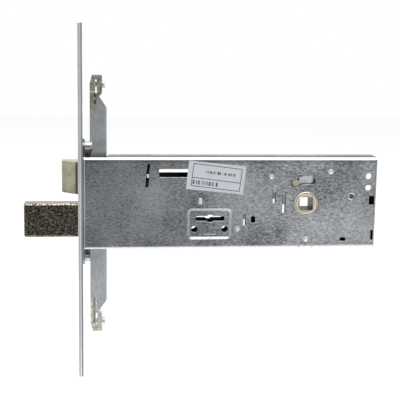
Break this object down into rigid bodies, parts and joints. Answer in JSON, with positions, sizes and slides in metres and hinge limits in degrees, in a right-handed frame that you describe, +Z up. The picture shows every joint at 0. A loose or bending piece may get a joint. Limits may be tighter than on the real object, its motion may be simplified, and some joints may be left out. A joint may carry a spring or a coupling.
{
  "type": "mortise lock",
  "caption": "Double-bit key mortise lock for narrow doors: flat forend, long low case, deadbolt, latch, square follower, and top and bottom rods with clamp couplings.",
  "frame": {"origin": "centre of the forend's outer face", "axes": "+X into the door, from the forend towards the case's rear; +Z up; +Y from the case face towards the cover"},
  "size_m": [0.2158, 0.022, 0.215],
  "materials": {
    "zinc_sheet": "zinc-plated sheet steel, bluish, faint rolling marks",
    "zinc_forend": "zinc-plated steel strip, satin",
    "zinc_rod": "zinc-plated steel strip",
    "nickel_bolt": "nickel-plated steel, mottled",
    "sintered_nickel": "nickel-plated sintered metal, matte beige",
    "die_cast_nickel": "nickel-plated die-cast zinc, yellowish",
    "plated_screw": "zinc-plated screws and rivets",
    "spring_steel": "bright spring wire",
    "lever_steel": "stamped steel, pale yellow passivated",
    "label_paper": "matte printed sticker"
  },
  "bodies": {
    "lock_case": {"forend": "zinc_forend", "forend_screws": "plated_screw", "forend_screw_bosses": "plated_screw", "case_body": "zinc_sheet", "case_cover": "zinc_sheet", "case_pillars": "plated_screw", "lever_guide_pins": "plated_screw", "rear_threaded_pillar": "plated_screw", "lever_cage_plate": "zinc_sheet", "bolt_tail_guide": "zinc_sheet", "latch_spring_seat": "zinc_sheet", "latch_spring_pin": "plated_screw", "latch_rod_stud": "plated_screw", "lever_spring_holder": "zinc_sheet", "inspection_label": "label_paper", "latch_spring": "spring_steel", "follower_spring": "spring_steel", "lever_springs": "spring_steel"},
    "handle_follower": {"follower": "sintered_nickel"},
    "latch": {"latch_head": "sintered_nickel", "latch_rod": "zinc_sheet", "latch_rivets": "plated_screw"},
    "deadbolt": {"bolt_head": "nickel_bolt", "bolt_tail": "zinc_sheet", "bolt_stump": "plated_screw", "rod_drive_pin": "plated_screw", "bolt_rivets": "plated_screw"},
    "top_rod_set": {"top_rod": "zinc_rod", "top_rod_coupling": "die_cast_nickel", "top_clamp_screw": "plated_screw", "top_coupling_rivets": "plated_screw"},
    "bottom_rod_set": {"bottom_rod": "zinc_rod", "bottom_rod_coupling": "die_cast_nickel", "bottom_clamp_screw": "plated_screw", "bottom_coupling_rivets": "plated_screw"},
    "lever_1_body": {"lever_1": "lever_steel"},
    "lever_2_body": {"lever_2": "lever_steel"},
    "lever_3_body": {"lever_3": "lever_steel"},
    "lever_4_body": {"lever_4": "lever_steel"},
    "lever_5_body": {"lever_5": "lever_steel"},
    "lever_6_body": {"lever_6": "lever_steel"}
  },
  "joints": [
    {"name": "follower_turn", "type": "hinge", "parent": "lock_case", "child": "handle_follower", "pos_m": [0.1394, 0, -0.0004], "axis": [0, 1, 0], "range_deg": [0, 38.05], "deforming": ["follower_spring"]},
    {"name": "latch_slide", "type": "slide", "parent": "lock_case", "child": "latch", "axis": [1, 0, 0], "range_m": [0, 0.00944], "stiffness_N_per_m": 900, "springref_m": -0.006, "deforming": ["latch_spring"]},
    {"name": "bolt_slide", "type": "slide", "parent": "lock_case", "child": "deadbolt", "axis": [1, 0, 0], "range_m": [0, 0.0324]},
    {"name": "top_rod_slide", "type": "slide", "parent": "lock_case", "child": "top_rod_set", "axis": [0, 0, 1], "range_m": [-0.01751, 0]},
    {"name": "bottom_rod_slide", "type": "slide", "parent": "lock_case", "child": "bottom_rod_set", "axis": [0, 0, 1], "range_m": [0, 0.01751]},
    {"name": "lever_1_slide", "type": "slide", "parent": "lock_case", "child": "lever_1_body", "axis": [0, 0, 1], "range_m": [-0.002, 0], "stiffness_N_per_m": 120, "springref_m": -0.004, "deforming": ["lever_springs"]},
    {"name": "lever_2_slide", "type": "slide", "parent": "lock_case", "child": "lever_2_body", "axis": [0, 0, 1], "range_m": [-0.00162, 0]},
    {"name": "lever_3_slide", "type": "slide", "parent": "lock_case", "child": "lever_3_body", "axis": [0, 0, 1], "range_m": [-0.00192, 0]},
    {"name": "lever_4_slide", "type": "slide", "parent": "lock_case", "child": "lever_4_body", "axis": [0, 0, 1], "range_m": [-0.00142, 0]},
    {"name": "lever_5_slide", "type": "slide", "parent": "lock_case", "child": "lever_5_body", "axis": [0, 0, 1], "range_m": [-0.00182, 0]},
    {"name": "lever_6_slide", "type": "slide", "parent": "lock_case", "child": "lever_6_body", "axis": [0, 0, 1], "range_m": [-0.00152, 0]}
  ],
  "couplings": [
    {"joint": "follower_turn", "follows": "latch_slide", "rad_per_m": 70.257},
    {"joint": "top_rod_slide", "follows": "bolt_slide", "ratio": -0.54012},
    {"joint": "bottom_rod_slide", "follows": "bolt_slide", "ratio": 0.54012},
    {"joint": "lever_2_slide", "follows": "lever_1_slide", "ratio": 0.8},
    {"joint": "lever_3_slide", "follows": "lever_1_slide", "ratio": 0.95},
    {"joint": "lever_4_slide", "follows": "lever_1_slide", "ratio": 0.7},
    {"joint": "lever_5_slide", "follows": "lever_1_slide", "ratio": 0.9},
    {"joint": "lever_6_slide", "follows": "lever_1_slide", "ratio": 0.75}
  ]
}
